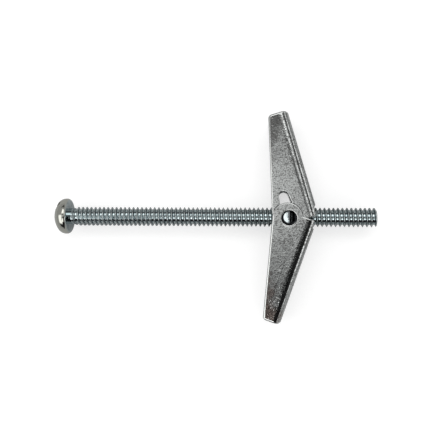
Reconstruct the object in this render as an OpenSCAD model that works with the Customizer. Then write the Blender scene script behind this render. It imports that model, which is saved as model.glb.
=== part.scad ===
// Spring toggle bolt: a slotted round head machine screw that carries a trunnion nut,
// with two sprung sheet steel wings hinged on the nut. The wings fold back along the
// screw to pass through a hole and spring open behind the wall.
//
// Frame: the origin is the centre of the bearing face under the head. +X runs along the
// screw to its tip, +Y towards the upper wing, and +Z along the trunnion of the nut.

/* [Screw] */
// Length from the bearing face to the tip
screw_len = 74.6; // [60:0.1:150]
// Outer diameter of the thread
thread_d = 4.66; // [3.8:0.01:5.4]
// Diameter of the round head
head_d = 8.74; // [7.5:0.01:11]
// Height of the head
head_h = 3.8; // [3:0.05:4.5]
// Rounding of the head's edge at the bearing face
head_edge_r = 0.75; // [0.2:0.05:1]
// Height of the straight band round the head
head_band = 0.25; // [0.05:0.05:0.5]
// Rounding of the shoulder between the band and the crown
shoulder_r = 2.0; // [1:0.05:2.2]
// Width of the driver slot
slot_w = 1.4; // [1:0.05:1.9]
// Depth of the driver slot below the crown
slot_depth = 1.9; // [1.2:0.05:2.4]
// Turn of the driver slot about the screw, from +Z towards +Y
slot_turn = 52; // [0:1:180]

/* [Trunnion nut] */
// Distance from the bearing face to the trunnion
nut_at = 53.9; // [40:0.1:55]
// Radius of the barrel that the screw passes through
barrel_r = 3.0; // [2.9:0.05:3.4]
// Half the length of the barrel, which is the room between the inner cheeks less the side play
barrel_half = 3.65; // [3.5:0.05:4.4]
// Chamfer on the barrel's two ends
barrel_chamfer = 0.15; // [0.05:0.05:0.3]
// Radius of the journals that the wings turn on
journal_r = 1.5; // [1.2:0.05:1.7]
// Depth of the journal's ridge below the outside of the outer cheek
journal_recess = 0.3; // [0.1:0.05:0.6]
// Slope of the long facet on the cropped journal end
crop_slope = 16; // [0:1:20]
// Slope of the short facet on the cropped journal end
crop_drop = 48; // [20:1:50]
// Distance of the crop ridge from the journal's axis
crop_ridge = 0.15; // [0:0.05:0.8]

/* [Wings] */
// Thickness of the wing sheet
sheet_t = 0.75; // [0.5:0.05:1]
// Distance from the pivot to the outside of the upper wing's web
upper_web = 6.8; // [6:0.05:8.2]
// Distance from the pivot to the outside of the lower wing's web
lower_web = 6.3; // [6:0.05:8.2]
// Distance from the pivot to the end of the tip
wing_reach = 24.4; // [18:0.1:35]
// Distance that the open edge stands from the pivot's line at the tip
tip_inset = 2.08; // [1:0.01:3]
// Rounding of the tip's corners
tip_r = 1.0; // [0.4:0.1:1.4]
// Outside radius of the bend between web and cheek
bend_r = 1.9; // [1.2:0.1:2.4]
// Distance that the cheeks run past the pivot, towards the other wing
cheek_back = 1.45; // [1:0.05:2]
// Radius of the ear round the pivot
ear_r = 3.55; // [3:0.05:3.8]
// Distance of the ear's centre from the pivot, towards the open edge
ear_shift = 0.4; // [0:0.05:0.6]
// Radius of the pivot hole
pivot_hole_r = 1.83; // [1.6:0.01:2.1]
// Width of the upper wing's window at its far end
window_far_w = 2.35; // [2:0.05:3.5]
// Width of the window at its near end
window_near_w = 2.75; // [2:0.05:3.8]
// Distance from the pivot to the far end of the window
window_far = 6.2; // [6:0.05:9]
// Distance from the pivot to the near end of the window
window_near = 2.8; // [2.6:0.05:3.8]
// Shift of the window from the pivot towards the web
window_shift = 0.2; // [0:0.05:1]
// Rounding of the window's near corners
window_r = 0.4; // [0.2:0.1:0.8]
// Rounding of the web's notch
notch_r = 0.6; // [0.2:0.1:1]

/* [Open position] */
// Mean lean of an open wing's web from square to the screw, towards the head
open_lean = 17.95; // [14:0.05:24]
// Turn of the pair about the trunnion, which takes up the play at the stop
pair_tilt = 1.25; // [0:0.05:2]
// Drop of the lower wing on its journals, which takes up the play in the pivot holes
lower_drop = 0.26; // [0:0.01:0.3]

/* [Spring] */
// Diameter of the spring wire
wire_d = 0.38; // [0.3:0.01:0.4]
// Whole turns in the coil
coil_turns = 2; // [1:1:2]
// Length of each leg that lies along its web
leg_foot = 3.2; // [1:0.1:5]
// Radius of the bend between a leg and its foot
leg_bend = 2.0; // [1:0.1:4]

/* [Clearances] */
// Radial play between the screw and the nut
screw_play = 0.05; // [0.02:0.01:0.1]
// Side play between the barrel and an inner cheek
side_play = 0.05; // [0.02:0.01:0.2]
// Gap between the two cheeks that overlap at each ear
cheek_gap = 0.08; // [0.05:0.01:0.3]
// Gap between the web's notch and the screw at the open stop
stop_gap = 0.1; // [0.05:0.01:0.3]
// Gap between the spring and the parts that it bears on
spring_gap = 0.04; // [0.02:0.01:0.06]

/* [Hidden] */

$fn = 64;
// Overrun of a cut past the face that it leaves
cut = 1;
// Depth by which an edge that runs into a round is let into it
hair = 0.0005;
zinc = "silver";
wing_zinc = "lightgray";
wire_steel = "darkgray";

// Screw
thread_r = thread_d / 2;
head_r = head_d / 2;
// The shoulder's centre, from the axis and from the bearing face
shoulder_out = head_r - shoulder_r;
shoulder_up = head_edge_r + head_band;
// The crown is the arc that runs into the shoulder and ends at the head's full height
crown_h = head_h - shoulder_up;
crown_r = (shoulder_out ^ 2 + crown_h ^ 2 - shoulder_r ^ 2) / (2 * (crown_h - shoulder_r));
// Share of the way from the crown's centre to the shoulder's at which the two arcs meet
meet = crown_r / (crown_r - shoulder_r);

// Stack of the cheeks along the trunnion, from the middle outwards
inner_face = barrel_half + side_play;
inner_out = inner_face + sheet_t;
outer_out = inner_out + cheek_gap + sheet_t;

// Nut
bore_r = thread_r + screw_play;
journal_end = outer_out - journal_recess;

// Open angles: the pair is turned together, so one wing leans less and the other more
upper_lean = open_lean - pair_tilt;
lower_lean = open_lean + pair_tilt;

// Side view of a wing, in its own frame: the pivot is the origin, +Y runs to the tip
// and +X to the web. The open edge is the tangent from the tip's corner to the ear.
ear_centre = [-ear_shift, 0];
tip_inner = [tip_inset, wing_reach];
edge_run = tip_inner - ear_centre;
edge_angle = atan2(edge_run[1], edge_run[0]) + acos(ear_r / norm(edge_run));
edge_start = ear_centre + ear_r * [cos(edge_angle), sin(edge_angle)];

// Spring
wire_r = wire_d / 2;
coil_r = barrel_r + spring_gap + wire_r;
coil_step = wire_d + spring_gap / 2;
coil_low = bore_r + spring_gap + wire_r;
coil_high = coil_low + coil_turns * coil_step;
// Room for the wire in the round of a bend between web and cheek, and how far the wire
// stands from the web where it lies in that round
bend_room = bend_r - sheet_t - wire_r - spring_gap;
upper_round = max(0, coil_low - (inner_out - bend_r));
lower_round = max(0, coil_high - (outer_out - bend_r));
upper_foot = upper_web - bend_r + sqrt(bend_room ^ 2 - upper_round ^ 2);
lower_foot = lower_web + lower_drop * sin(lower_lean) - bend_r
    + sqrt(bend_room ^ 2 - lower_round ^ 2);
WIRE_SIDES = 10;
TURN_STEPS = 36;
BEND_STEPS = 6;

function unit(v) = v / norm(v);

// Angle between the two edges that leave a corner, halved
function half_angle(before, corner, after) =
    acos(unit(before - corner) * unit(after - corner)) / 2;

// Centre of the circle that rounds a corner
function round_centre(before, corner, after, r) =
    corner + unit(unit(before - corner) + unit(after - corner))
        * r / sin(half_angle(before, corner, after));

// Point where the rounding of a corner meets the edge that runs to one neighbour
function round_start(before, corner, after, r) =
    corner + unit(before - corner) * r / tan(half_angle(before, corner, after));

// One leg from the coil outwards, in the plane of the coil: straight up from the coil,
// then round a bend of radius leg_bend, then along the inside of the web, where the
// wire's centre is foot from the pivot
function leg_points(lean, foot) =
    let (
        corner = [coil_r, (foot - coil_r * cos(lean)) / sin(lean)],
        along = [-sin(lean), cos(lean)],
        trim = leg_bend * tan(lean / 2),
        centre = corner + [-leg_bend, -trim]
    )
    [
        for (i = [0 : BEND_STEPS])
            centre + leg_bend * [cos(i * lean / BEND_STEPS), sin(i * lean / BEND_STEPS)],
        corner + along * leg_foot
    ];

// The whole wire: lower leg from its foot, the coil, and the upper leg to its foot
function wire_path() =
    let (
        down = leg_points(lower_lean, lower_foot),
        up = leg_points(upper_lean, upper_foot),
        steps = coil_turns * TURN_STEPS
    )
    concat(
        [for (i = [len(down) - 1 : -1 : 0]) [down[i][0], -down[i][1], coil_high]],
        [
            for (i = [0 : steps])
                let (a = 360 * i / TURN_STEPS)
                [coil_r * cos(a), coil_r * sin(a), coil_high - coil_step * i / TURN_STEPS]
        ],
        [for (p = up) [p[0], p[1], coil_low]]
    );

// Round wire along a path that stays nearly square to Z: one ring of points at each
// point of the path, quads between the rings and a cap at each end
module wire(path) {
    last = len(path) - 1;
    rings = [
        for (i = [0 : last])
            let (
                ahead = unit(path[min(i + 1, last)] - path[max(i - 1, 0)]),
                side = unit(cross(ahead, [0, 0, 1])),
                up = cross(side, ahead)
            )
            for (k = [0 : WIRE_SIDES - 1])
                let (a = 360 * k / WIRE_SIDES)
                path[i] + wire_r * (cos(a) * side + sin(a) * up)
    ];
    walls = [
        for (i = [0 : last - 1])
            for (k = [0 : WIRE_SIDES - 1])
                let (n = (k + 1) % WIRE_SIDES, here = i * WIRE_SIDES, next = here + WIRE_SIDES)
                [here + k, next + k, next + n, here + n]
    ];
    start_cap = [for (k = [0 : WIRE_SIDES - 1]) k];
    end_cap = [for (k = [WIRE_SIDES - 1 : -1 : 0]) last * WIRE_SIDES + k];
    polyhedron(points = rings, faces = concat(walls, [start_cap, end_cap]), convexity = 6);
}

// A cylinder along +X from a given place
module along_x(from, length, r) {
    translate([from, 0, 0]) rotate([0, 90, 0]) cylinder(h = length, r = r);
}

// Half of the head's section: the crown and the shoulder are two arcs that run into each
// other, and the lower edge is rounded
module head_section() {
    inset = head_r - head_edge_r;
    meet_out = shoulder_out * meet;
    difference() {
        intersection() {
            translate([0, head_h - crown_r]) circle(r = crown_r);
            square([head_r, head_h + cut]);
        }
        difference() {
            translate([meet_out, shoulder_up]) square([head_r - meet_out + cut, head_h]);
            translate([shoulder_out, shoulder_up]) circle(r = shoulder_r);
        }
        difference() {
            translate([inset, -cut]) square([head_edge_r + cut, head_edge_r + cut]);
            translate([inset, head_edge_r]) circle(r = head_edge_r);
        }
    }
}

module head() {
    difference() {
        rotate([0, -90, 0]) rotate_extrude() head_section();
        rotate([-slot_turn, 0, 0])
            translate([-head_h - cut, -slot_w / 2, -head_r - cut])
                cube([slot_depth + cut, slot_w, 2 * (head_r + cut)]);
    }
}

// The thread is a fine one, so the shank is its outer cylinder
module machine_screw() {
    color(zinc) union() {
        head();
        along_x(0, screw_len, thread_r);
    }
}

// Side view of a journal's two ends, cropped to a long and a short facet
module cropped_ends() {
    left = -journal_r - cut;
    right = journal_r + cut;
    left_end = journal_end - (crop_ridge - left) * tan(crop_slope);
    right_end = journal_end - (right - crop_ridge) * tan(crop_drop);
    polygon([
        [left, -left_end],
        [crop_ridge, -journal_end],
        [right, -right_end],
        [right, right_end],
        [crop_ridge, journal_end],
        [left, left_end],
    ]);
}

module journals() {
    intersection() {
        cylinder(h = 2 * journal_end, r = journal_r, center = true);
        rotate([90, 0, 0])
            linear_extrude(2 * (journal_r + cut), center = true)
                cropped_ends();
    }
}

// Barrel with a cross hole for the screw, and a cropped journal at each end
module trunnion_nut() {
    color(zinc) translate([nut_at, 0, 0]) difference() {
        union() {
            rotate_extrude() polygon([
                [0, -barrel_half],
                [barrel_r - barrel_chamfer, -barrel_half],
                [barrel_r, -barrel_half + barrel_chamfer],
                [barrel_r, barrel_half - barrel_chamfer],
                [barrel_r - barrel_chamfer, barrel_half],
                [0, barrel_half],
            ]);
            journals();
        }
        along_x(-barrel_r - cut, 2 * (barrel_r + cut), bore_r);
    }
}

module torsion_spring() {
    color(wire_steel) translate([nut_at, 0, 0]) wire(wire_path());
}

// Outline of the bent sheet across the wing, out to its web and to its two cheek faces
module sheet_section(web, face, r) {
    open_side = -ear_shift - ear_r - 2 * cut;
    polygon([
        [open_side, -face], [web - r, -face], [web, -face + r],
        [web, face - r], [web - r, face], [open_side, face],
    ]);
    translate([web - r, face - r]) circle(r = r);
    translate([web - r, -face + r]) circle(r = r);
}

// The channel: web and two cheeks of one sheet, open towards the head
module channel(web, face) {
    translate([0, wing_reach + cut, 0]) rotate([90, 0, 0])
        linear_extrude(wing_reach + ear_r + 2 * cut) difference() {
            sheet_section(web, face, bend_r);
            translate([-cut, 0])
                sheet_section(web - sheet_t + cut, face - sheet_t, bend_r - sheet_t);
        }
}

// Point on a round, let into it by a hair so that the straight edge and the round cross
function let_in(point, centre) = point + hair * unit(centre - point);

// Blank of a wing, thick enough for both cheeks: a tapered blade with a round ear at the
// pivot and two rounded corners at the tip
module wing_blank(web) {
    thick = 2 * (outer_out + cut);
    tip_outer = [web, wing_reach];
    web_end = [web, -cheek_back];
    inner_centre = round_centre(edge_start, tip_inner, tip_outer, tip_r);
    outer_centre = round_centre(tip_inner, tip_outer, web_end, tip_r);
    linear_extrude(thick, center = true) polygon([
        let_in(edge_start, ear_centre),
        let_in(round_start(edge_start, tip_inner, tip_outer, tip_r), inner_centre),
        round_start(tip_outer, tip_inner, edge_start, tip_r),
        round_start(tip_inner, tip_outer, web_end, tip_r),
        round_start(web_end, tip_outer, tip_inner, tip_r),
        web_end,
        [0, -cheek_back],
    ]);
    translate(ear_centre) cylinder(h = thick, r = ear_r, center = true);
    translate(inner_centre) cylinder(h = thick, r = tip_r, center = true);
    translate(outer_centre) cylinder(h = thick, r = tip_r, center = true);
}

// Notch in the web's end that straddles the screw, seen along X: it leaves the cheeks whole
module notch_outline(floor_at, half) {
    run = ear_r + cut;
    middle = half - notch_r;
    translate([floor_at - notch_r, 0]) {
        translate([-run, -half]) square([run, 2 * half]);
        translate([-run, -middle]) square([run + notch_r, 2 * middle]);
        for (z = [-middle, middle]) translate([0, z]) circle(r = notch_r);
    }
}

// One wing in its own frame, from the place of its web, the outside of its cheeks and how
// far the notch's floor stands from the pivot
module wing(web, face, floor_at) {
    difference() {
        intersection() {
            channel(web, face);
            wing_blank(web);
        }
        cylinder(h = 2 * (outer_out + cut), r = pivot_hole_r, center = true);
        translate([web - sheet_t - bend_r, 0, 0]) rotate([90, 0, 90])
            linear_extrude(sheet_t + bend_r + cut) notch_outline(floor_at, face - sheet_t);
    }
}

// Distance along a wing from its pivot to a notch floor that just clears the screw, for a
// wing that leans by a given angle and hangs below its journal by a given drop
function notch_floor(web, lean, drop) =
    (thread_r + stop_gap - drop - (web - sheet_t) * sin(lean)) / cos(lean);

// Window through both cheeks, round at the far end and wider towards the pivot
module window() {
    thick = 2 * (outer_out + cut);
    far_half = window_far_w / 2;
    near_half = window_near_w / 2;
    far_centre = window_far - far_half;
    near_line = window_near + window_r;
    translate([window_shift, 0, 0]) {
        linear_extrude(thick, center = true) polygon([
            [-near_half, near_line],
            [-near_half + window_r, window_near],
            [near_half - window_r, window_near],
            [near_half, near_line],
            [far_half, far_centre],
            [-far_half, far_centre],
        ]);
        translate([0, far_centre, 0]) cylinder(h = thick, r = far_half, center = true);
        for (side = [-1, 1])
            translate([side * (near_half - window_r), near_line, 0])
                cylinder(h = thick, r = window_r, center = true);
    }
}

// The upper wing is the inner one: its cheeks lie against the barrel
module upper_wing() {
    color(wing_zinc) translate([nut_at, 0, 0]) rotate([0, 0, upper_lean])
        difference() {
            wing(upper_web, inner_out, notch_floor(upper_web, upper_lean, 0));
            window();
        }
}

// The lower wing is the outer one: its cheeks lie over the upper wing's
module lower_wing() {
    color(wing_zinc) translate([nut_at, -lower_drop, 0]) rotate([180, 0, 0])
        rotate([0, 0, lower_lean])
            wing(lower_web, outer_out, notch_floor(lower_web, lower_lean, lower_drop));
}

machine_screw();
trunnion_nut();
torsion_spring();
upper_wing();
lower_wing();
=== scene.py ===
"""Finished pieces of a spring toggle bolt: the threaded screw, the trunnion nut, the torsion
spring and the two sheet wings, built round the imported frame, with a plain studio stage."""

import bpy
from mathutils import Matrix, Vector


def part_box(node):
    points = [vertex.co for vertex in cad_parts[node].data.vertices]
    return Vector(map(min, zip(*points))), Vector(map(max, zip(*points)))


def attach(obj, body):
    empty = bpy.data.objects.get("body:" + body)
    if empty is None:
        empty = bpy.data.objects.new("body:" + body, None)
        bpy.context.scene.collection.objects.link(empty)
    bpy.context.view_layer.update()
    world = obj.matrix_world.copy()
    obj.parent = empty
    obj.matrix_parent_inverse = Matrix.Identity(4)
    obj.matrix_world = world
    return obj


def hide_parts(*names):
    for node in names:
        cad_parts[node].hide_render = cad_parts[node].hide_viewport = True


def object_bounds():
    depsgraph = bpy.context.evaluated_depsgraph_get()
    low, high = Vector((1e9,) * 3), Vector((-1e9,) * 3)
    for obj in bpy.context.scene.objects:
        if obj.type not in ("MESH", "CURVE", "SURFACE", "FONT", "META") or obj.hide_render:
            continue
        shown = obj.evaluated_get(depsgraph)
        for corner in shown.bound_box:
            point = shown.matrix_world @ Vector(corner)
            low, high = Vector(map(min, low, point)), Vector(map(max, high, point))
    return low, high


bl_info = {
    "name": "Spring toggle bolt",
    "version": (1, 0, 0),
    "blender": (4, 5, 0),
    "location": "View3D > Sidebar > Toggle bolt",
    "description": "Builds the finished pieces of a spring toggle bolt and a studio stage for them",
    "category": "Add Mesh",
}

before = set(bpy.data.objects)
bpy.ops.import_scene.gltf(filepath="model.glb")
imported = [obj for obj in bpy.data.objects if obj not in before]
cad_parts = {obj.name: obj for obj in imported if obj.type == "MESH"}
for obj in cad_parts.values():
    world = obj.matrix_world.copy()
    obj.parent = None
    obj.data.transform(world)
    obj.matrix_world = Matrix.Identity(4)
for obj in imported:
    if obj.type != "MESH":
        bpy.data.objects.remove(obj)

import math

import bmesh
import bpy
from bpy.props import FloatProperty, FloatVectorProperty, PointerProperty
from mathutils import Matrix, Vector

MM = 0.001
CAD_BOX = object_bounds()
SCREW_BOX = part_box("machine_screw")
NUT_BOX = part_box("trunnion_nut")
# The trunnion's axis, which both wings and the spring turn about
PIVOT = (NUT_BOX[0] + NUT_BOX[1]) / 2
# Points of a mesh that lie closer than this are one point
WELD = 1e-6
# The point that the studio lights and the light tent stand round
MIDDLE = Vector((36.3, 0.0, 0.0)) * MM

# Share of the head's height that the shank reaches into it
SHANK_ROOT = 0.1
# Shares of half a pitch, from the middle of a crest, at which a flank starts and ends
CREST_SHARE = 0.1
ROOT_SHARE = 0.7
# Smallest radius of the chamfer at the tip, as a share of the thread's root radius
TIP_SHARE = 0.98
# Rounding of the slot's edges and of the nut's
BROKEN_EDGE = 0.07 * MM
# The lower wing's ear where it lies on the upper wing, in millimetres: the way from its middle
# to the hinge line, its radius, and the width of the painted shadow round it
EAR_OFFSET = Vector((0.38, 0.13, 0.0))
EAR_RADIUS = 3.58
EAR_SHADOW = 0.25
# Where the painted shade ends round the pivot holes, where the painted shade lies round the
# journals, and where the cropped ends start, in millimetres from the hinge line or, for the ends,
# from the middle of the nut
HOLE_SHADE = (1.84, 1.98)
JOURNAL_SHADE = (1.29, 2.1)
CROPPED_ENDS = (3.68, 3.76)
# Angles at which the spring's coil starts to climb and the length of each climb, in degrees
COIL_CLIMBS = (168, 442)
CLIMB_LENGTH = 110
# The legs' wire as a share of the coil's, inside which it slides
LEG_SHARE = 0.92

# Patches a metre in each pattern of noise
FINE_GRAIN = 5200.0
STAINS = 700.0
SPECKS = 2900.0
FIELDS = 420.0
FLECKS = 1500.0
TORN_METAL = 2200.0
EDGE_GRAIN = 4200.0
WIRE_GRAIN = 6000.0

# The tent's brightness by direction, in degrees from straight overhead: side is towards the
# tip, tilt towards the upper wing. Over the plain cloth, a fade from one wing to the other
# covers the directions within the span.
TENT_CLOTH = 0.45
TENT_FADE_SPAN = 16
TENT_FADE = [
    (-14, 0.06), (-9, 0.13), (-6, 0.27), (-3, 0.51), (3, 0.86), (6, 0.9), (9, 0.22), (14, 0.26)
]
# Panels over both: side from, side to, tilt from, tilt to, softness, brightness
TENT_PANELS = {
    "floor_gap": (-60, 78, -120, -56, 5, 0.02),
    "camera_side": (-22, 56, -60, -11, 3, 0.015),
    "camera_edge": (6, 54, -20, -4, 1.5, 0.015),
    "strip_low": (-12, -3, -38, -12, 2, 3.0),
    "strip_low_tip": (-3, 13, -38, -17, 2, 3.0),
    "strip_head": (-22, -15.5, 17, 49, 2, 2.6),
    "strip_high": (-15.5, -3, 22, 42, 2, 1.8),
    "strip_high_tip": (-3, 30, 17, 44, 2, 2.6),
    "window_low": (-56, -21.5, -50, 8, 4, 1.9),
    "gap_above": (-45, 50, 59, 76, 3, 0.04),
    "gap_near": (6, 19, 2, 14, 2, 0.08),
    "near_lamp": (23, 38, 0, 15, 2.5, 1.1),
    "gap_right": (40, 54, -14, 40, 2, 0.03),
    "wall_low": (58, 84, -50, -18, 3, 1.45),
    "wall_high": (55, 82, 18, 55, 3, 1.15),
}
# Softboxes: degrees right and up of straight overhead, width, height, brightness
SOFTBOXES = {
    "softbox_above": (0, 27, 0.75, 0.26, 2.2),
    "softbox_left": (-62, 8, 0.35, 0.5, 1.6),
}
LAMP_DISTANCE = 0.7
# Level of the world's light, where white is 1, and of the floor's own light
SKY_LEVEL = 0.75
FLOOR_GLOW = 0.60
# Half the side of the floor, its gap under the bolt, and how far above the screw the camera aims
FLOOR_HALF = 2.0
FLOOR_GAP = 0.01 * MM
AIM_ABOVE = 0.2 * MM


# ---------------- settings


def LengthProperty(**words):
    """A property that holds a length, and shows it with enough digits for a small part."""
    return FloatProperty(precision=5, unit="LENGTH", **words)


class ScrewSettings(bpy.types.PropertyGroup):
    pitch: LengthProperty(
        name="Pitch", description="Distance from one thread to the next", default=1.0583 * MM
    )
    crest_r: LengthProperty(
        name="Crest radius", description="Radius of the thread's crests", default=2.33 * MM
    )
    root_r: LengthProperty(
        name="Root radius", description="Radius of the thread's roots", default=1.76 * MM
    )
    neck_r: LengthProperty(
        name="Neck radius", description="Radius of the plain neck under the head", default=2.0 * MM
    )
    neck_len: LengthProperty(
        name="Neck length",
        description="Length of the plain neck before the thread starts to rise",
        default=0.9 * MM,
    )
    run_out: LengthProperty(
        name="Run-out",
        description="Length over which the thread rises from the neck",
        default=1.3 * MM,
    )
    tip_chamfer: LengthProperty(
        name="Tip chamfer",
        description="Length over which the crests fall away at the tip",
        default=0.2 * MM,
    )
    head_r: LengthProperty(
        name="Head radius", description="Radius of the round head", default=SCREW_BOX[1].y
    )
    head_h: LengthProperty(
        name="Head height",
        description="Height of the head's crown above the bearing face",
        default=3.8 * MM,
    )
    head_edge_r: LengthProperty(
        name="Head edge radius",
        description="Rounding of the head's edge at the bearing face",
        default=0.75 * MM,
    )
    head_band: LengthProperty(
        name="Head band",
        description="Height of the straight band round the head",
        default=0.25 * MM,
    )
    shoulder_r: LengthProperty(
        name="Shoulder radius",
        description="Rounding between the head's band and its crown",
        default=2.0 * MM,
    )
    slot_w: LengthProperty(
        name="Slot width", description="Width of the driver slot", default=1.4 * MM
    )
    slot_depth: LengthProperty(
        name="Slot depth", description="Depth of the driver slot below the crown", default=1.9 * MM
    )
    slot_turn: FloatProperty(
        name="Slot turn",
        description="Turn of the driver slot about the screw, from +Z towards +Y",
        default=math.radians(52),
        subtype="ANGLE",
    )


class WingSettings(bpy.types.PropertyGroup):
    upper_lean: FloatProperty(
        name="Upper lean",
        description="Lean of the upper wing's web towards the head",
        default=math.radians(16.7),
        subtype="ANGLE",
    )
    lower_lean: FloatProperty(
        name="Lower lean",
        description="Lean of the lower wing's web towards the head",
        default=math.radians(19.2),
        subtype="ANGLE",
    )
    upper_web: LengthProperty(
        name="Upper web",
        description="Distance from the pivot to the outside of the upper wing's web",
        default=6.8 * MM,
    )
    lower_web: LengthProperty(
        name="Lower web",
        description="Distance from the pivot to the outside of the lower wing's web",
        default=6.3 * MM,
    )
    lower_drop: LengthProperty(
        name="Lower drop", description="Drop of the lower wing on its journals", default=0.26 * MM
    )
    bend_r: LengthProperty(
        name="Bend radius",
        description="Outside radius of the bend between web and cheek",
        default=1.9 * MM,
    )
    edge_roll: LengthProperty(
        name="Edge roll",
        description="Rounding that the punch leaves on the outside edges of the sheet",
        default=0.48 * MM,
    )
    hinge_roll: FloatProperty(
        name="Hinge roll",
        description="Rounding round the ear, the pivot hole and the window, as a share",
        default=0.5,
        subtype="FACTOR",
    )
    hinge_span: LengthProperty(
        name="Hinge span",
        description="Distance from the hinge line within which the edges have the smaller share",
        default=6.4 * MM,
    )
    burr_share: FloatProperty(
        name="Burr share",
        description="Rounding of the inside edges as a share of the edge roll",
        default=0.22,
        subtype="FACTOR",
    )


class SpringSettings(bpy.types.PropertyGroup):
    wire_r: LengthProperty(
        name="Wire radius", description="Radius of the spring wire", default=0.19 * MM
    )
    coil_r: LengthProperty(
        name="Coil radius",
        description="Radius of the coil at the middle of its wire",
        default=3.23 * MM,
    )
    coil_low: LengthProperty(
        name="Coil low",
        description="Height of the turn that the upper leg leaves",
        default=2.61 * MM,
    )
    coil_high: LengthProperty(
        name="Coil high",
        description="Height of the turn that the lower leg leaves",
        default=3.41 * MM,
    )
    upper_foot: LengthProperty(
        name="Upper foot",
        description="Distance from the pivot to the upper leg's foot along its web",
        default=5.82 * MM,
    )
    lower_foot: LengthProperty(
        name="Lower foot",
        description="Distance from the pivot to the lower leg's foot along its web",
        default=5.4 * MM,
    )
    leg_foot: LengthProperty(
        name="Foot length",
        description="Length of each leg that lies along its web",
        default=3.2 * MM,
    )
    leg_bend: LengthProperty(
        name="Leg bend",
        description="Radius of the bend between a leg and its foot",
        default=2.0 * MM,
    )
    reach: FloatProperty(
        name="Leg reach",
        description="Turn of wire that each leg keeps inside the coil, to cover its wing's fold",
        default=math.radians(80),
        subtype="ANGLE",
    )


class FinishSettings(bpy.types.PropertyGroup):
    zinc: FloatVectorProperty(
        name="Zinc",
        description="Colour of the bright zinc on the screw and the nut",
        default=(0.46, 0.525, 0.535),
        subtype="COLOR",
    )
    crown: FloatVectorProperty(
        name="Crown zinc",
        description="Colour of the zinc on the head, a little yellower than the rest",
        default=(0.49, 0.495, 0.45),
        subtype="COLOR",
    )
    zinc_shade: FloatVectorProperty(
        name="Zinc shade",
        description="Colour of the zinc where it is stained or thin",
        default=(0.26, 0.31, 0.325),
        subtype="COLOR",
    )
    sheet: FloatVectorProperty(
        name="Sheet zinc",
        description="Colour of the zinc on the wings",
        default=(0.63, 0.65, 0.64),
        subtype="COLOR",
    )
    # Also the colour of the painted shade at the upper wing's tip.
    sheet_shade: FloatVectorProperty(
        name="Sheet shade",
        description="Colour of the dull spots on the wings",
        default=(0.21, 0.21, 0.205),
        subtype="COLOR",
    )
    tarnish_and_shade: FloatVectorProperty(
        name="Tarnish",
        description="Colour of the tarnished tips of the wings",
        default=(0.27, 0.21, 0.185),
        subtype="COLOR",
    )
    # Painted shade: near-black colour painted into the pivot holes, round the journals, round the
    # lower wing's ear, on one side of the nut's cropped ends and on the thread's flanks.
    painted_shade: FloatVectorProperty(
        name="Painted shade",
        description="Colour of the oil and dirt in the pivots",
        default=(0.035, 0.036, 0.04),
        subtype="COLOR",
    )
    edge: FloatVectorProperty(
        name="Sheared edge",
        description="Colour of the burnished edges of the wings",
        default=(0.66, 0.67, 0.66),
        subtype="COLOR",
    )
    wire: FloatVectorProperty(
        name="Spring wire",
        description="Colour of the spring wire",
        default=(0.20, 0.22, 0.26),
        subtype="COLOR",
    )


class StageSettings(bpy.types.PropertyGroup):
    tent_r: LengthProperty(
        name="Tent radius", description="Radius of the light tent", default=0.9
    )
    floor: FloatVectorProperty(
        name="Floor", description="Colour of the floor", default=(0.50, 0.50, 0.50), subtype="COLOR"
    )
    distance: LengthProperty(
        name="Camera distance",
        description="Distance from the camera to the middle of the screw",
        default=155 * MM,
    )
    swing: FloatProperty(
        name="Camera swing",
        description="Turn of the camera about the upright, towards the tip",
        default=math.radians(5.1),
        subtype="ANGLE",
    )
    roll: FloatProperty(
        name="Camera roll",
        description="Roll of the camera about its view",
        default=math.radians(0.28),
        subtype="ANGLE",
    )
    lens: FloatProperty(
        name="Lens", description="Focal length of the camera, in millimetres", default=53.0
    )


# ---------------- node trees


class Value:
    """A number on a node socket, which takes part in sums through Math nodes."""

    def __init__(self, net, socket):
        self.net = net
        self.socket = socket

    def math(self, operation, *values):
        node = self.net.node("ShaderNodeMath", {"operation": operation}, dict(enumerate(values)))
        return Value(self.net, node.outputs[0])

    def __add__(self, other):
        return self.math("ADD", self, other)

    def __radd__(self, other):
        return self.math("ADD", other, self)

    def __sub__(self, other):
        return self.math("SUBTRACT", self, other)

    def __rsub__(self, other):
        return self.math("SUBTRACT", other, self)

    def __mul__(self, other):
        return self.math("MULTIPLY", self, other)

    def __rmul__(self, other):
        return self.math("MULTIPLY", other, self)

    def __truediv__(self, other):
        return self.math("DIVIDE", self, other)

    def __rtruediv__(self, other):
        return self.math("DIVIDE", other, self)

    def __abs__(self):
        return self.math("ABSOLUTE", self)

    def sine(self):
        return self.math("SINE", self)

    def cosine(self):
        return self.math("COSINE", self)

    def least(self, other):
        return self.math("MINIMUM", self, other)

    def most(self, other):
        return self.math("MAXIMUM", self, other)

    def bearing(self, other):
        return self.math("ARCTAN2", self, other)

    def step(self, low, high):
        """0 below low, 1 above high and a smooth rise between them."""
        sockets = {"Value": self, "From Min": low, "From Max": high, "To Min": 0.0, "To Max": 1.0}
        node = self.net.node("ShaderNodeMapRange", {"interpolation_type": "SMOOTHSTEP"}, sockets)
        return Value(self.net, node.outputs["Result"])

    def band(self, low, high, soft):
        """1 between two limits and 0 outside them, with a soft change at each."""
        return self.step(low - soft, low + soft) * (1 - self.step(high - soft, high + soft))


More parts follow.
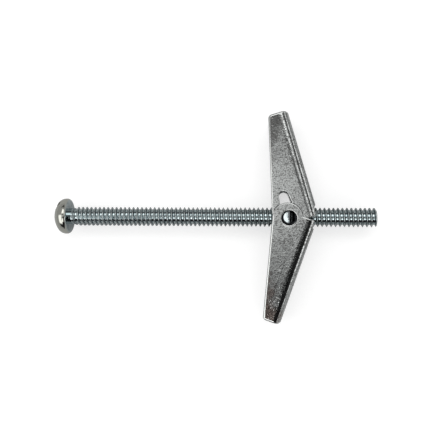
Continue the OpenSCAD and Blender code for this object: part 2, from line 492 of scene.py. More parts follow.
class Net:
    """Builds one node tree, node by node."""

    def __init__(self, tree):
        self.tree = tree

    def node(self, kind, settings=None, sockets=None):
        """A node of this type. Its settings come first, then the values or links of its sockets."""
        node = self.tree.nodes.new(kind)
        for key, value in (settings or {}).items():
            if key == "stops":
                self.set_stops(node.color_ramp, value)
            else:
                setattr(node, key, value)
        for key, value in (sockets or {}).items():
            self.feed(node.inputs[key], value)
        return node

    def set_stops(self, ramp, stops):
        for place, colour in stops[2:]:
            ramp.elements.new(place)
        for element, (place, colour) in zip(ramp.elements, stops):
            element.position = place
            element.color = (*colour, 1.0)

    def feed(self, socket, value):
        if isinstance(value, Value):
            value = value.socket
        if isinstance(value, bpy.types.NodeSocket):
            self.tree.links.new(value, socket)
        elif socket.type == "RGBA":
            socket.default_value = (*value, 1.0)
        else:
            socket.default_value = value

    def value(self, node, output):
        return Value(self, node.outputs[output])

    def noise(self, vector, scale, detail=2.0, roughness=0.5):
        """Smooth noise about 0.5, at so many patches a metre."""
        sockets = {"Vector": vector, "Scale": scale, "Detail": detail, "Roughness": roughness}
        return self.value(self.node("ShaderNodeTexNoise", {}, sockets), "Fac")

    def vector(self, operation, first, second):
        """The vector that a Vector Math node makes of two others."""
        sockets = {0: first, 1: second}
        return self.node("ShaderNodeVectorMath", {"operation": operation}, sockets).outputs[0]

    def distance(self, vector, axes):
        """Length of a vector, along the axes that have a 1."""
        sockets = {0: self.vector("MULTIPLY", vector, axes)}
        length = self.node("ShaderNodeVectorMath", {"operation": "LENGTH"}, sockets)
        return self.value(length, "Value")

    def ramp(self, degrees, rows):
        """The brightness at an angle between -90 and 90 degrees, from rows of the two."""
        stops = [((angle + 90) / 180, (level, level, level)) for angle, level in rows]
        share = degrees * (1 / 180) + 0.5
        return self.value(self.node("ShaderNodeValToRGB", {"stops": stops}, {"Fac": share}), 0)

    def mix(self, share, first, second):
        """A colour between two others."""
        node = self.node("ShaderNodeMix", {"data_type": "RGBA"}, {0: share, 6: first, 7: second})
        return node.outputs[2]


def empty_net(owner):
    """The net of a material or a world, with nothing in it."""
    owner.use_nodes = True
    owner.node_tree.nodes.clear()
    return Net(owner.node_tree)


def material(name):
    """A new material, its empty net, and its object coordinates."""
    made = bpy.data.materials.new(name)
    net = empty_net(made)
    place = net.node("ShaderNodeTexCoord").outputs["Object"]
    return made, net, place


def finish_metal(net, colour, roughness, height, depth):
    """The metal's shader: a colour, a roughness, and a height in shares of a depth in metres."""
    bump = net.node("ShaderNodeBump", {}, {"Strength": 1.0, "Distance": depth, "Height": height})
    shader = net.node(
        "ShaderNodeBsdfPrincipled",
        {},
        {"Base Color": colour, "Metallic": 1.0, "Roughness": roughness, "Normal": bump.outputs[0]},
    )
    net.node("ShaderNodeOutputMaterial", {}, {"Surface": shader.outputs[0]})


def bright_zinc(name, finish, settings):
    """Bright zinc on the turned and rolled screw: fine grain, faint stains in patches, crests
    lightened as a painted highlight, painted shade on the thread's flanks, and a yellower head."""
    made, net, place = material(name)
    grain = net.noise(place, FINE_GRAIN, 2.0, 0.6)
    patches = net.noise(place, STAINS, 3.0, 0.6).step(0.46, 0.62)
    colour = net.mix(patches * 0.6, finish.zinc, finish.zinc_shade)
    away = net.distance(place, (0, 1, 1))
    along = net.value(net.node("ShaderNodeSeparateXYZ", {}, {0: place}), "X")
    threaded = along.step(0.5 * settings.neck_len, 1.5 * settings.neck_len)
    low = settings.root_r
    rise = settings.crest_r - low
    flank = away.band(low + 0.22 * rise, low + 0.72 * rise, 0.12 * rise) * threaded
    crest = away.step(low + 0.75 * rise, low + 0.96 * rise) * threaded
    # Painted shade: the thread's flanks darkened towards the dark shade colour.
    colour = net.mix(flank * 0.35, colour, finish.painted_shade)
    # Painted highlight: the crests lightened towards the bright edge colour.
    colour = net.mix(crest * 0.4, colour, finish.edge)
    colour = net.mix(1 - along.step(-0.4 * settings.head_edge_r, 0.0), colour, finish.crown)
    roughness = 0.05 + grain * 0.04 + patches * 0.04
    finish_metal(net, colour, roughness, grain, 0.004 * MM)
    return made


def from_hinge(net, place, drop):
    """The vector from a wing's hinge to each point, in millimetres."""
    away = net.vector("SUBTRACT", place, PIVOT - Vector((0, drop, 0)))
    return net.vector("MULTIPLY", away, Vector((1, 1, 1)) / MM)


def hinge_distance(net, away):
    """Distance of each point from the hinge line, in millimetres."""
    return net.distance(away, (1, 1, 0))


def distance_towards(net, away, way):
    """How far each point lies from the hinge in one direction, in millimetres."""
    dot = net.node("ShaderNodeVectorMath", {"operation": "DOT_PRODUCT"}, {0: away, 1: way})
    return net.value(dot, "Value")


def sheet_zinc(name, finish, drop, lean, web, up, under_ear):
    """Zinc on rolled sheet: a fine grain of dull specks over a satin ground, darkening towards the
    tip that is brown tarnish on the lower wing and painted shade on the upper, a slight bow beside
    the bend, painted shade in the pivot hole, and a painted shadow round an ear that lies on the
    sheet, if it has one."""
    made, net, place = material(name)
    away = from_hinge(net, place, drop)
    to_web = distance_towards(net, away, (math.cos(lean), up * math.sin(lean), 0))
    to_tip = distance_towards(net, away, (-math.sin(lean), up * math.cos(lean), 0))
    specks = net.noise(place, SPECKS, 2.0, 0.6)
    fields = net.noise(place, FIELDS, 3.0, 0.6)
    depth = web / MM - to_web
    beside_bend = depth.band(2.4, 5.0, 0.8)
    flecks = (net.noise(place, FLECKS, 3.0, 0.7) + beside_bend * 0.05).step(0.65, 0.70)
    dull = (specks + fields * 0.3).step(0.56, 0.84)
    zinc = net.mix(dull, finish.sheet, finish.sheet_shade)
    # Darkening towards the tip: brown tarnish on the lower wing. On the upper wing it is painted
    # shade in the dull spots' colour.
    tarnish_and_shade = (to_tip - to_web * 1.5 + (fields - 0.5) * 12).step(12.0, 18.0)
    zinc = net.mix(tarnish_and_shade * 0.9, zinc, finish.sheet_shade if under_ear else finish.tarnish_and_shade)
    zinc = net.mix(flecks * 0.6, zinc, finish.edge)
    # Painted shade in the pivot hole. On the upper wing there is also a painted shadow round the
    # lower wing's ear.
    painted_shade = 1 - hinge_distance(net, away).step(*HOLE_SHADE)
    if under_ear:
        ring = hinge_distance(net, net.vector("ADD", away, EAR_OFFSET))
        painted_shade = painted_shade.most(1 - ring.step(EAR_RADIUS, EAR_RADIUS + EAR_SHADOW))
    colour = net.mix(painted_shade, zinc, finish.painted_shade)
    bow = depth.step(1.2, 2.5)
    roughness = 0.09 + specks * 0.07 + flecks * 0.25 + painted_shade * 0.2
    finish_metal(net, colour, roughness, specks * 0.022 + fields * 0.015 + bow * 0.11, MM)
    return made


def pivot_zinc(name, finish):
    """Zinc on the nut: cropped ends that are bright on one side of the ridge and, on the other,
    painted near black as painted shade with the look of torn metal, and painted shade round the
    journals."""
    made, net, place = material(name)
    grain = net.noise(place, FINE_GRAIN, 2.0, 0.6)
    away = from_hinge(net, place, 0.0)
    # Painted shade round the journals, deep in the wings' pivot holes.
    painted_shade = hinge_distance(net, away).band(*JOURNAL_SHADE, 0.05)
    zinc = net.mix(grain.step(0.45, 0.7), finish.zinc, finish.edge)
    uneven = net.noise(place, TORN_METAL, 2.0, 0.6) - 0.5
    past = distance_towards(net, away, (1, 0.05, 0)) + uneven * 2.0
    ends = abs(distance_towards(net, away, (0, 0, 1))).step(*CROPPED_ENDS)
    # Painted shade: the cropped ends' side past the ridge is painted near black, and its edge is
    # made uneven like torn metal.
    torn_and_shaded = past.step(-0.5, -0.1) * ends
    colour = net.mix(painted_shade.most(torn_and_shaded * 0.9), zinc, finish.painted_shade)
    finish_metal(net, colour, 0.12 + grain * 0.06 + painted_shade * 0.2, grain, 0.006 * MM)
    return made


def sheared_edge(name, finish):
    """Zinc over the burnished edge that the punch leaves."""
    made, net, place = material(name)
    grain = net.noise(place, EDGE_GRAIN, 2.0, 0.5)
    colour = net.mix(grain.step(0.50, 0.70), finish.edge, finish.sheet)
    finish_metal(net, colour, 0.12 + grain * 0.08, grain, 0.006 * MM)
    return made


def drawn_wire(name, finish):
    """Dark drawn spring wire with a fine uneven grain."""
    made, net, place = material(name)
    grain = net.noise(place, WIRE_GRAIN, 2.0, 0.6)
    colour = net.mix(grain.step(0.5, 0.7), finish.wire, finish.zinc_shade)
    finish_metal(net, colour, 0.20 + grain * 0.14, grain, 0.004 * MM)
    return made


# ---------------- geometry trees


def new_tree(name, inputs):
    """A geometry tree with named inputs. Gives the tree, its net, and its group input node."""
    tree = bpy.data.node_groups.new(name, "GeometryNodeTree")
    for title, kind in inputs:
        tree.interface.new_socket(name=title, in_out="INPUT", socket_type=kind)
    tree.interface.new_socket(name="Geometry", in_out="OUTPUT", socket_type="NodeSocketGeometry")
    net = Net(tree)
    return tree, net, net.node("NodeGroupInput")


def close_tree(net, group, mesh):
    """Ends a tree: smooth shading, real geometry and the material."""
    smooth = net.node("GeometryNodeSetShadeSmooth", {}, {"Geometry": mesh})
    real = net.node("GeometryNodeRealizeInstances", {}, {"Geometry": smooth.outputs[0]})
    painted = net.node(
        "GeometryNodeSetMaterial",
        {},
        {"Geometry": real.outputs[0], "Material": group.outputs["Material"]},
    )
    net.node("NodeGroupOutput", {}, {"Geometry": painted.outputs[0]})


def thread_tree():
    """A threaded shank along +X: a strip one pitch wide is wound on at one pitch a turn, so its
    two long edges meet. The thread rises from a plain neck and falls away at the tip."""
    sizes = ("Pitch", "Crest radius", "Root radius", "Neck radius", "Neck length", "Run-out")
    sizes += ("Tip", "Tip chamfer", "Start")
    counts = ("Turns", "Steps a turn", "Steps a pitch")
    inputs = [(title, "NodeSocketFloat") for title in sizes]
    inputs += [(title, "NodeSocketInt") for title in counts]
    tree, net, group = new_tree("threaded_shank", inputs + [("Material", "NodeSocketMaterial")])
    given = {title: net.value(group, title) for title in sizes + counts}
    turns = given["Turns"]
    grid = net.node(
        "GeometryNodeMeshGrid",
        {},
        {
            "Size X": 1.0,
            "Size Y": 1.0,
            "Vertices X": turns * given["Steps a turn"] + 1,
            "Vertices Y": given["Steps a pitch"] + 1,
        },
    )
    place = net.node("GeometryNodeInputPosition")
    parts = net.node("ShaderNodeSeparateXYZ", {}, {0: place.outputs[0]})
    turn = (net.value(parts, "X") + 0.5) * turns
    across = net.value(parts, "Y") + 0.5
    along = given["Start"] + (turn + across) * given["Pitch"]
    # The crest is at the middle of the strip, and half a root at each edge
    flank = (ROOT_SHARE - abs(across * 2 - 1)) / (ROOT_SHARE - CREST_SHARE)
    height = flank.most(0).least(1)
    cut = given["Root radius"] + height * (given["Crest radius"] - given["Root radius"])
    rise = along.step(given["Neck length"], given["Neck length"] + given["Run-out"])
    shank = given["Neck radius"] + rise * (cut - given["Neck radius"])
    cone = given["Crest radius"] + given["Tip"] - given["Tip chamfer"] - along
    radius = shank.least(cone.most(given["Root radius"] * TIP_SHARE))
    angle = turn * math.tau
    wound = net.node(
        "ShaderNodeCombineXYZ",
        {},
        {"X": along, "Y": radius * angle.cosine(), "Z": radius * angle.sine()},
    )
    moved = net.node(
        "GeometryNodeSetPosition", {}, {"Geometry": grid.outputs[0], "Position": wound.outputs[0]}
    )
    welded = net.node(
        "GeometryNodeMergeByDistance", {}, {"Geometry": moved.outputs[0], "Distance": WELD}
    )
    close_tree(net, group, welded.outputs[0])
    return tree


def wire_tree():
    """A round wire along the curve that it is given, with closed ends."""
    inputs = [
        ("Path", "NodeSocketGeometry"),
        ("Wire radius", "NodeSocketFloat"),
        ("Sides", "NodeSocketInt"),
        ("Material", "NodeSocketMaterial"),
    ]
    tree, net, group = new_tree("wire", inputs)
    ring = net.node(
        "GeometryNodeCurvePrimitiveCircle",
        {},
        {"Resolution": group.outputs["Sides"], "Radius": group.outputs["Wire radius"]},
    )
    swept = net.node(
        "GeometryNodeCurveToMesh",
        {},
        {"Curve": group.outputs["Path"], "Profile Curve": ring.outputs[0], "Fill Caps": True},
    )
    close_tree(net, group, swept.outputs[0])
    return tree


def evaluated_mesh(item):
    """A plain mesh of an object as its modifiers leave it."""
    graph = bpy.context.evaluated_depsgraph_get()
    return bpy.data.meshes.new_from_object(item.evaluated_get(graph))


def run_tree(tree, carrier, values):
    """The plain mesh that a tree makes of a carrier object. The carrier is removed."""
    modifier = carrier.modifiers.new(tree.name, "NODES")
    modifier.node_group = tree
    sockets = {item.name: item for item in tree.interface.items_tree if item.in_out == "INPUT"}
    for title, value in values.items():
        modifier[sockets[title].identifier] = value
    mesh = evaluated_mesh(carrier)
    data = carrier.data
    bpy.data.objects.remove(carrier)
    if isinstance(data, bpy.types.Curve):
        bpy.data.curves.remove(data)
    else:
        bpy.data.meshes.remove(data)
    return mesh


# ---------------- meshes


def add_object(name, data):
    """An object for a mesh, a curve, a lamp or a camera, in the scene at the origin."""
    data.name = name
    piece = bpy.data.objects.new(name, data)
    bpy.context.scene.collection.objects.link(piece)
    return piece


def mesh_of(shape, name):
    """A new mesh made from a bmesh, which is freed."""
    mesh = bpy.data.meshes.new(name)
    shape.to_mesh(mesh)
    shape.free()
    return mesh


def round_edges(piece, name, width, segments, sharper=None):
    """A bevel on a piece's edges that are sharper than so many degrees, or else on those that
    carry a weight."""
    bevel = piece.modifiers.new(name, "BEVEL")
    bevel.limit_method = "ANGLE" if sharper else "WEIGHT"
    if sharper:
        bevel.angle_limit = math.radians(sharper)
    bevel.width = width
    bevel.segments = segments
    bevel.use_clamp_overlap = False
    return bevel


def bake(piece):
    """Applies a piece's modifiers to its mesh."""
    mesh = evaluated_mesh(piece)
    old = piece.data
    piece.modifiers.clear()
    piece.data = mesh
    bpy.data.meshes.remove(old)
    mesh.name = piece.name
    return piece


def smooth_by_angle(mesh, limit):
    """Smooth shading, with the edges above an angle in degrees kept sharp."""
    mesh.shade_smooth()
    mesh.set_sharp_from_angle(angle=math.radians(limit))


def level_faces(piece):
    """Shades large faces flat up to their rounded edges."""
    level = piece.modifiers.new("level_faces", "WEIGHTED_NORMAL")
    level.keep_sharp = True
    level.weight = 100
    return bake(piece)


def keep_inside(mesh, box):
    """Moves the points that a bevel pushed out of a piece's box back to its sides."""
    for point in mesh.vertices:
        for i in range(3):
            point.co[i] = min(max(point.co[i], box[0][i]), box[1][i])


def cut_flat(mesh, place, normal):
    """Cuts a mesh square to X, drops the side that the normal points to, and closes the cut."""
    shape = bmesh.new()
    shape.from_mesh(mesh)
    parts = [*shape.verts, *shape.edges, *shape.faces]
    made = bmesh.ops.bisect_plane(
        shape, geom=parts, dist=1e-7, plane_co=(place, 0, 0), plane_no=normal, clear_outer=True
    )
    rim = [e for e in made["geom_cut"] if isinstance(e, bmesh.types.BMEdge)]
    bmesh.ops.edgeloop_fill(shape, edges=rim)
    shape.to_mesh(mesh)
    shape.free()


def tidy_closed(mesh):
    """Merges a closed mesh's doubled points and turns its faces outwards."""
    shape = bmesh.new()
    shape.from_mesh(mesh)
    bmesh.ops.remove_doubles(shape, verts=shape.verts, dist=WELD)
    bmesh.ops.recalc_face_normals(shape, faces=shape.faces)
    shape.to_mesh(mesh)
    shape.free()


def welded_copy(node, name):
    """A copy of a CAD node's mesh, with its loose triangles merged into flat faces."""
    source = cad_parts[node].data
    points = [v.co.copy() for v in source.vertices]
    faces = [tuple(p.vertices) for p in source.polygons]
    mesh = bpy.data.meshes.new(name)
    mesh.from_pydata(points, [], faces)
    shape = bmesh.new()
    shape.from_mesh(mesh)
    bmesh.ops.remove_doubles(shape, verts=shape.verts, dist=WELD)
    bmesh.ops.dissolve_limit(
        shape, angle_limit=math.radians(0.5), verts=shape.verts, edges=shape.edges
    )
    shape.to_mesh(mesh)
    shape.free()
    return mesh


# ---------------- screw


def shank_mesh(settings, zinc):
    """The threaded shank, from just inside the head to the flat tip."""
    tip = SCREW_BOX[1].x
    start = -2 * settings.pitch
    turns = math.ceil((tip - start) / settings.pitch) + 1
    carrier = add_object("shank_carrier", bpy.data.meshes.new("shank_carrier"))
    values = {
        "Pitch": settings.pitch,
        "Crest radius": settings.crest_r,
        "Root radius": settings.root_r,
        "Neck radius": settings.neck_r,
        "Neck length": settings.neck_len,
        "Run-out": settings.run_out,
        "Tip": tip,
        "Tip chamfer": settings.tip_chamfer,
        "Start": start - settings.pitch / 2,
        "Turns": turns,
        "Steps a turn": 40,
        "Steps a pitch": 20,
        "Material": zinc,
    }
    mesh = run_tree(thread_tree(), carrier, values)
    cut_flat(mesh, tip, (1, 0, 0))
    cut_flat(mesh, -SHANK_ROOT * settings.head_h, (-1, 0, 0))
    tidy_closed(mesh)
    return mesh


def head_profile(settings):
    """Half of the head's section, from the crown to the middle of the bearing face."""
    edge = settings.head_edge_r
    shoulder = settings.shoulder_r
    out = settings.head_r - shoulder
    up = edge + settings.head_band
    rise = settings.head_h - up
    crown_r = (out**2 + rise**2 - shoulder**2) / (2 * (rise - shoulder))
    meet = math.atan2(out, up - settings.head_h + crown_r)
    # Crown, shoulder and edge: height and radius of the centre, radius, first angle, last, steps
    arcs = (
        (settings.head_h - crown_r, 0.0, crown_r, 0.0, meet, 20),
        (up, out, shoulder, meet, math.pi / 2, 12),
        (edge, settings.head_r - edge, edge, math.pi / 2, math.pi, 20),
    )
    profile = []
    for height, away, radius, first, last, steps in arcs:
        for i in range(steps + 1):
            angle = first + (last - first) * i / steps
            profile.append((-height - radius * math.cos(angle), away + radius * math.sin(angle)))
    return profile + [(0.0, 0.0)]


def head_piece(settings, zinc):
    """The round head: a turned blank with a driver slot sawn across it."""
    shape = bmesh.new()
    points = [shape.verts.new((x, r, 0.0)) for x, r in head_profile(settings)]
    edges = [shape.edges.new(pair) for pair in zip(points, points[1:])]
    bmesh.ops.spin(
        shape, geom=points + edges, axis=(1, 0, 0), cent=(0, 0, 0), angle=math.tau, steps=96
    )
    blank = mesh_of(shape, "screw_head")
    tidy_closed(blank)
    head = add_object("screw_head", blank)
    head.data.materials.append(zinc)
    saw = bmesh.new()
    bmesh.ops.create_cube(saw, size=1.0)
    depth = settings.slot_depth * 2
    size = Matrix.Diagonal((depth, settings.slot_w, settings.head_r * 3, 1.0))
    turned = Matrix.Rotation(-settings.slot_turn, 4, "X")
    at_crown = Matrix.Translation((-settings.head_h, 0, 0))
    bmesh.ops.transform(saw, matrix=at_crown @ turned @ size, verts=saw.verts)
    saw_mesh = mesh_of(saw, "slot_saw")
    saw_object = add_object("slot_saw", saw_mesh)
    cut = head.modifiers.new("slot", "BOOLEAN")
    cut.operation = "DIFFERENCE"
    cut.solver = "EXACT"
    cut.object = saw_object
    round_edges(head, "slot_edges", BROKEN_EDGE, 3, sharper=40)
    bake(head)
    bpy.data.objects.remove(saw_object)
    bpy.data.meshes.remove(saw_mesh)
    smooth_by_angle(head.data, 35)
    return level_faces(head)


class TOGGLE_OT_screw(bpy.types.Operator):
    """Builds the slotted head and the threaded shank"""

    bl_idname = "toggle_bolt.screw"
    bl_label = "Screw"

    def execute(self, context):
        settings = context.scene.toggle_screw
        zinc = bright_zinc("screw_zinc", context.scene.toggle_finish, settings)
        shank = add_object("screw_shank", shank_mesh(settings, zinc))
        head = head_piece(settings, zinc)
        for piece in (shank, head):
            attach(piece, "bolt")
            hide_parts("machine_screw")
        return {"FINISHED"}


# ---------------- nut


class TOGGLE_OT_nut(bpy.types.Operator):
    """Builds the trunnion nut with softened edges"""

    bl_idname = "toggle_bolt.nut"
    bl_label = "Trunnion nut"

    def execute(self, context):
        zinc = pivot_zinc("nut_zinc", context.scene.toggle_finish)
        nut = add_object("nut_body", welded_copy("trunnion_nut", "nut_body"))
        nut.data.materials.append(zinc)
        round_edges(nut, "edges", BROKEN_EDGE, 3, sharper=20)
        bake(nut)
        keep_inside(nut.data, NUT_BOX)
        smooth_by_angle(nut.data, 35)
        level_faces(nut)
        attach(nut, "nut")
        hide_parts("trunnion_nut")
        return {"FINISHED"}


# ---------------- wings


def skin_depth(point, web, face, bend_r):
    """How far below the outside of the bent sheet a point in a wing's own frame lies."""
    centre = web - bend_r
    middle = face - bend_r
    height = abs(point.z)
    if point.x <= centre:
        return face - height
    if height <= middle:
        return web - point.x
    return bend_r - math.hypot(point.x - centre, height - middle)


def weigh_edges(mesh, to_wing, web, face, settings):
    """Gives each sharp edge its share of the rolled rounding: whole outside, the burr's inside."""
    shape = bmesh.new()
    shape.from_mesh(mesh)
    layer = shape.edges.layers.float.new("bevel_weight_edge")
    for edge in shape.edges:
        if len(edge.link_faces) != 2 or edge.calc_face_angle() < math.radians(40):
            continue
        middle = to_wing @ ((edge.verts[0].co + edge.verts[1].co) / 2)
        outside = skin_depth(middle, web, face, settings.bend_r) < 0.1 * MM
        rolled = settings.hinge_roll if middle.xy.length < settings.hinge_span else 1.0
        edge[layer] = rolled if outside else settings.burr_share
    shape.to_mesh(mesh)
    shape.free()


def wing_piece(node, name, hinge, turned, lean, web, settings, finishes):
    """One wing: the CAD sheet with rolled edges outside and a fine burr radius inside."""
    to_wing = (
        Matrix.Rotation(-lean, 4, "Z")
        @ Matrix.Rotation(-turned, 4, "X")
        @ Matrix.Translation(-hinge)
    )
    mesh = welded_copy(node, name)
    weigh_edges(mesh, to_wing, web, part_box(node)[1].z, settings)
    wing = add_object(name, mesh)
    for finish in finishes:
        wing.data.materials.append(finish)
    round_edges(wing, "rolled_edges", settings.edge_roll, 5).material = 1
    bake(wing)
    keep_inside(wing.data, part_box(node))
    smooth_by_angle(wing.data, 38)
    return level_faces(wing)


class TOGGLE_OT_wings(bpy.types.Operator):
    """Builds the two folding wings"""

    bl_idname = "toggle_bolt.wings"
    bl_label = "Wings"

    def execute(self, context):
        settings = context.scene.toggle_wings
        finish = context.scene.toggle_finish
        edge = sheared_edge("wing_edge_zinc", finish)
        upper = (0.0, 0.0, settings.upper_lean, settings.upper_web)
        lower = (settings.lower_drop, math.pi, settings.lower_lean, settings.lower_web)
        rows = (
            ("upper_wing", "wing_upper", "upper", *upper),
            ("lower_wing", "wing_lower", "lower", *lower),
        )
        for node, name, body, drop, turned, lean, web in rows:
            hinge = PIVOT - Vector((0, drop, 0))
            up = math.cos(turned)
            under_ear = body == "upper"
            zinc = sheet_zinc(name + "_zinc", finish, drop, lean, web, up, under_ear)
            wing = wing_piece(node, name, hinge, turned, lean, web, settings, (zinc, edge))
            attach(wing, body)
            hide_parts(node)
        return {"FINISHED"}


# ---------------- spring


def leg_route(lean, foot, settings):
    """Points of a leg past the coil: up from the coil, round a bend, then along its web."""
    coil_r = settings.coil_r
    bend = settings.leg_bend
    corner = Vector((coil_r, (foot - coil_r * math.cos(lean)) / math.sin(lean)))
    along = Vector((-math.sin(lean), math.cos(lean)))
    centre = corner + Vector((-bend, -bend * math.tan(lean / 2)))
    steps = 8
    turn = [
        centre + bend * Vector((math.cos(lean * i / steps), math.sin(lean * i / steps)))
        for i in range(steps + 1)
    ]
    return turn + [corner + along * settings.leg_foot]


def coil_height(angle, settings):
    """Height of the coil's wire at an angle from the lower leg: a flat turn at each leg's
    height and one midway between them, so that a leg's end slides inside the coil as it turns."""
    share = 0.0
    for start in COIL_CLIMBS:
        climbed = (angle - math.radians(start)) / math.radians(CLIMB_LENGTH)
        share += min(1.0, max(0.0, climbed)) / len(COIL_CLIMBS)
    return settings.coil_high + share * (settings.coil_low - settings.coil_high)


def arc_route(first, last, settings):
    """Points round the coil between two angles."""
    radius = settings.coil_r
    steps = max(2, round((last - first) / math.radians(5)))
    angles = [first + (last - first) * i / steps for i in range(steps + 1)]
    return [
        Vector((radius * math.cos(a), radius * math.sin(a), coil_height(a, settings)))
        for a in angles
    ]


def wire_piece(name, route, radius, tree, metal):
    """A round wire along a route of points about the pivot."""
    curve = bpy.data.curves.new(name + "_route", "CURVE")
    curve.dimensions = "3D"
    spline = curve.splines.new("POLY")
    spline.points.add(len(route) - 1)
    for point, place in zip(spline.points, route):
        point.co = (*(place + PIVOT), 1.0)
    carrier = add_object(name + "_route", curve)
    values = {"Wire radius": radius, "Sides": 14, "Material": metal}
    mesh = run_tree(tree, carrier, values)
    tidy_closed(mesh)
    smooth_by_angle(mesh, 40)
    return add_object(name, mesh)


class TOGGLE_OT_spring(bpy.types.Operator):
    """Builds the torsion spring: the coil on the nut and a leg on each wing"""

    bl_idname = "toggle_bolt.spring"
    bl_label = "Torsion spring"

    def execute(self, context):
        settings = context.scene.toggle_spring
        wings = context.scene.toggle_wings
        metal = drawn_wire("spring_steel", context.scene.toggle_finish)
        tree = wire_tree()
        reach = settings.reach
        whole = 2 * math.tau
        inner_r = settings.wire_r * LEG_SHARE
        between = arc_route(reach, whole - reach, settings)
        coil = wire_piece("spring_coil", between, settings.wire_r, tree, metal)
        lower = [
            Vector((p.x, -p.y, settings.coil_high))
            for p in reversed(leg_route(wings.lower_lean, settings.lower_foot, settings))
        ]
        lower += arc_route(0.0, 2 * reach, settings)
        upper = arc_route(whole - 2 * reach, whole, settings)
        upper += [
            Vector((p.x, p.y, settings.coil_low))
            for p in leg_route(wings.upper_lean, settings.upper_foot, settings)
        ]
        lower_leg = wire_piece("spring_leg_lower", lower, inner_r, tree, metal)
        upper_leg = wire_piece("spring_leg_upper", upper, inner_r, tree, metal)
        for piece, body in ((coil, "nut"), (lower_leg, "lower"), (upper_leg, "upper")):
            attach(piece, body)
            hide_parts("torsion_spring")
        return {"FINISHED"}


# ---------------- stage


def direction(right, up):
    """Unit vector towards a place in the studio, in degrees right and up of straight overhead."""
    return Vector((math.tan(math.radians(right)), math.tan(math.radians(up)), 1.0)).normalized()


def facing(place, target):
    """The matrix of a panel at a place, whose -Z looks at the target and whose X stays level."""
    back = (place - target).normalized()
    side = Vector((0, 1, 0)).cross(back)
    if side.length < 1e-3:
        side = Vector((1, 0, 0))
    side.normalize()
    up = back.cross(side)
    turned = Matrix((side, up, back)).transposed().to_4x4()
    return Matrix.Translation(place) @ turned


def softbox(name, place, width, height, radiance):
    """An area lamp of a given brightness that looks at the middle of the bolt."""
    lamp = bpy.data.lights.new(name, "AREA")
    lamp.shape = "RECTANGLE"
    lamp.size = width
    lamp.size_y = height
    lamp.energy = radiance * math.pi * width * height
    box = add_object(name, lamp)
    box.matrix_world = facing(place, MIDDLE)
    box.visible_camera = False
    box.visible_glossy = False


def light_tent(settings):
    """A dome that only reflections see: grey cloth that fades across the bolt, with bright strips
    and windows and dark gaps on it."""
    shape = bmesh.new()
    bmesh.ops.create_uvsphere(shape, u_segments=48, v_segments=32, radius=settings.tent_r)
    bmesh.ops.translate(shape, vec=MIDDLE, verts=shape.verts)
    bmesh.ops.reverse_faces(shape, faces=shape.faces)
    mesh = mesh_of(shape, "light_tent")
    made, net, place = material("tent_cloth")
    away = net.vector("SUBTRACT", place, MIDDLE)
    parts = net.node("ShaderNodeSeparateXYZ", {}, {0: away})
    height = net.value(parts, "Z")
    tilt = net.value(parts, "Y").bearing(height) * (180 / math.pi)
    side = net.value(parts, "X").bearing(height) * (180 / math.pi)
    fade = net.ramp(tilt, TENT_FADE) - TENT_CLOTH
    span = TENT_FADE_SPAN
    level = TENT_CLOTH + fade * side.band(-span, span, 4) * tilt.band(-span, span, 3)
    for side_low, side_high, tilt_low, tilt_high, soft, bright in TENT_PANELS.values():
        share = side.band(side_low, side_high, soft) * tilt.band(tilt_low, tilt_high, soft)
        level = level + share * (bright - level)
    glow = net.node("ShaderNodeEmission", {}, {"Color": level, "Strength": 1.0})
    net.node("ShaderNodeOutputMaterial", {}, {"Surface": glow.outputs[0]})
    mesh.materials.append(made)
    tent = add_object("light_tent", mesh)
    tent.visible_camera = False
    tent.visible_diffuse = False
    tent.visible_transmission = False
    tent.visible_shadow = False


def white_world():
    """White where the camera or a reflection looks, and a plain level of light for the rest."""
    world = bpy.data.worlds.new("studio")
    bpy.context.scene.world = world
    net = empty_net(world)
    path = net.node("ShaderNodeLightPath")
    seen = net.value(path, "Is Camera Ray").most(net.value(path, "Is Glossy Ray"))
    seen = seen.most(net.value(path, "Is Transmission Ray"))
    level = SKY_LEVEL + seen * (1 - SKY_LEVEL)
    glow = net.node("ShaderNodeBackground", {}, {"Color": level, "Strength": 1.0})
    net.node("ShaderNodeOutputWorld", {}, {"Surface": glow.outputs[0]})


def pale_floor(colour):
    """A floor that keeps the shadow, on which the camera sees a little light of its own."""
    made = bpy.data.materials.new("floor_pale")
    net = empty_net(made)
    path = net.node("ShaderNodeLightPath")
    seen = net.value(path, "Is Camera Ray")
    base = net.node("ShaderNodeBsdfDiffuse", {}, {"Color": colour})
    glow = net.node("ShaderNodeEmission", {}, {"Color": seen * FLOOR_GLOW, "Strength": 1.0})
    both = net.node("ShaderNodeAddShader", {}, {0: base.outputs[0], 1: glow.outputs[0]})
    net.node("ShaderNodeOutputMaterial", {}, {"Surface": both.outputs[0]})
    return made


def studio_camera(settings):
    """The camera, over the bolt and swung a little towards its tip."""
    aim = MIDDLE + Vector((0, AIM_ABOVE, 0))
    swing = settings.swing
    back = Vector((math.sin(swing), 0, math.cos(swing)))
    right = Vector((math.cos(swing), 0, -math.sin(swing)))
    up = Vector((0, 1, 0))
    roll = settings.roll
    level = right * math.cos(roll) + up * math.sin(roll)
    upright = up * math.cos(roll) - right * math.sin(roll)
    data = bpy.data.cameras.new("studio_camera")
    data.lens = settings.lens
    data.sensor_width = 36.0
    data.clip_start = 1 * MM
    data.clip_end = 10.0
    camera = add_object("studio_camera", data)
    turned = Matrix((level, upright, back)).transposed().to_4x4()
    camera.matrix_world = Matrix.Translation(aim + back * settings.distance) @ turned
    bpy.context.scene.camera = camera


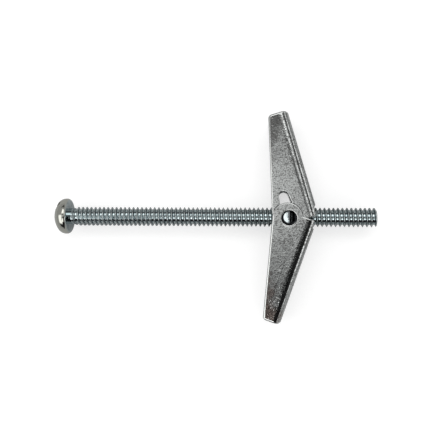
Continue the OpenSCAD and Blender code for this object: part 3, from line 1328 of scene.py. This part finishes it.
class TOGGLE_OT_stage(bpy.types.Operator):
    """Builds the floor, the studio light and the camera"""

    bl_idname = "toggle_bolt.stage"
    bl_label = "Stage"

    def execute(self, context):
        settings = context.scene.toggle_stage
        floor = bmesh.new()
        bmesh.ops.create_grid(floor, x_segments=1, y_segments=1, size=FLOOR_HALF)
        low = CAD_BOX[0].z - FLOOR_GAP
        bmesh.ops.translate(floor, vec=(0, 0, low), verts=floor.verts)
        mesh = mesh_of(floor, "floor")
        mesh.materials.append(pale_floor(settings.floor))
        add_object("floor", mesh)
        white_world()
        for name, (right, up, width, height, radiance) in SOFTBOXES.items():
            place = MIDDLE + direction(right, up) * LAMP_DISTANCE
            softbox(name, place, width, height, radiance)
        light_tent(settings)
        studio_camera(settings)
        context.scene.view_settings.view_transform = "Standard"
        return {"FINISHED"}


# ---------------- add-on


class TOGGLE_PT_panel(bpy.types.Panel):
    """Lists the pieces of the bolt and their settings"""

    bl_idname = "TOGGLE_PT_panel"
    bl_label = "Toggle bolt"
    bl_space_type = "VIEW_3D"
    bl_region_type = "UI"
    bl_category = "Toggle bolt"

    def draw(self, context):
        rows = (
            (TOGGLE_OT_screw, "toggle_screw"),
            (TOGGLE_OT_nut, None),
            (TOGGLE_OT_spring, "toggle_spring"),
            (TOGGLE_OT_wings, "toggle_wings"),
            (TOGGLE_OT_stage, "toggle_stage"),
        )
        for operator, group in rows:
            box = self.layout.box()
            box.operator(operator.bl_idname)
            if group:
                settings = getattr(context.scene, group)
                for key in settings.__annotations__:
                    box.prop(settings, key)
        box = self.layout.box()
        box.label(text="Finish")
        for key in FinishSettings.__annotations__:
            box.prop(context.scene.toggle_finish, key)


SETTINGS = {
    "toggle_screw": ScrewSettings,
    "toggle_wings": WingSettings,
    "toggle_spring": SpringSettings,
    "toggle_finish": FinishSettings,
    "toggle_stage": StageSettings,
}
OPERATORS = (TOGGLE_OT_screw, TOGGLE_OT_nut, TOGGLE_OT_spring, TOGGLE_OT_wings, TOGGLE_OT_stage)


def register():
    for kind in (*SETTINGS.values(), *OPERATORS, TOGGLE_PT_panel):
        bpy.utils.register_class(kind)
    for name, kind in SETTINGS.items():
        setattr(bpy.types.Scene, name, PointerProperty(type=kind))


def unregister():
    for name in SETTINGS:
        delattr(bpy.types.Scene, name)
    for kind in (TOGGLE_PT_panel, *OPERATORS, *SETTINGS.values()):
        bpy.utils.unregister_class(kind)


def main():
    register()
    bpy.ops.toggle_bolt.screw()
    bpy.ops.toggle_bolt.nut()
    bpy.ops.toggle_bolt.spring()
    bpy.ops.toggle_bolt.wings()
    bpy.ops.toggle_bolt.stage()


if __name__ == "__main__":
    main()
